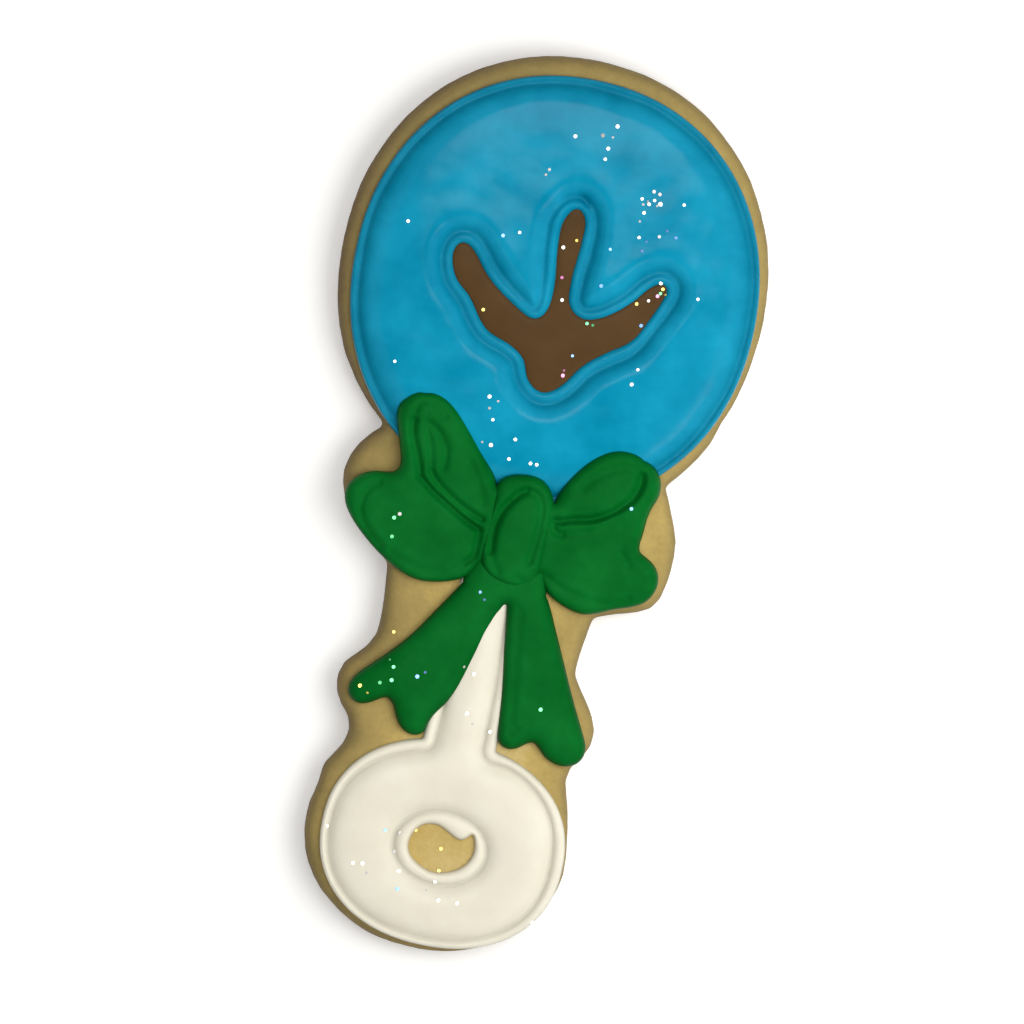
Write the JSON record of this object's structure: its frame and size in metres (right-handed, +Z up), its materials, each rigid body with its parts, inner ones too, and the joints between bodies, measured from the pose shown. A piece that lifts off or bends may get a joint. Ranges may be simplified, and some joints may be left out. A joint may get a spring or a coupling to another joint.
{
  "type": "iced sugar cookie",
  "caption": "Rattle-shaped sugar cookie with flooded and piped icing: a round head with a bird footprint, a ribbon bow and a ring handle.",
  "frame": {"origin": "on the flat underside, at the middle of the cookie's length and width", "axes": "+Y runs along the rattle towards its round head, +Z is up through the biscuit towards the icing, and +X is to the right seen from above with the head at the top"},
  "size_m": [0.0548, 0.116, 0.0101],
  "materials": {
    "biscuit": "baked sugar dough: matt, pale gold on top with fine pits, browner along its lower edge",
    "blue_icing": "dried royal icing, smooth with a soft gloss",
    "brown_icing": "dried royal icing, smooth with a soft gloss",
    "white_icing": "dried royal icing, smooth with a soft gloss",
    "green_icing": "dried royal icing piped by hand, soft gloss"
  },
  "bodies": {
    "root": {"biscuit": "biscuit", "head_icing": "blue_icing", "track_icing": "brown_icing", "handle_icing": "white_icing", "bow_left_inside": "green_icing", "bow_left_front": "green_icing", "bow_right_inside": "green_icing", "bow_right_front": "green_icing", "bow_left_tail": "green_icing", "bow_right_tail": "green_icing", "bow_knot": "green_icing"}
  },
  "joints": []
}
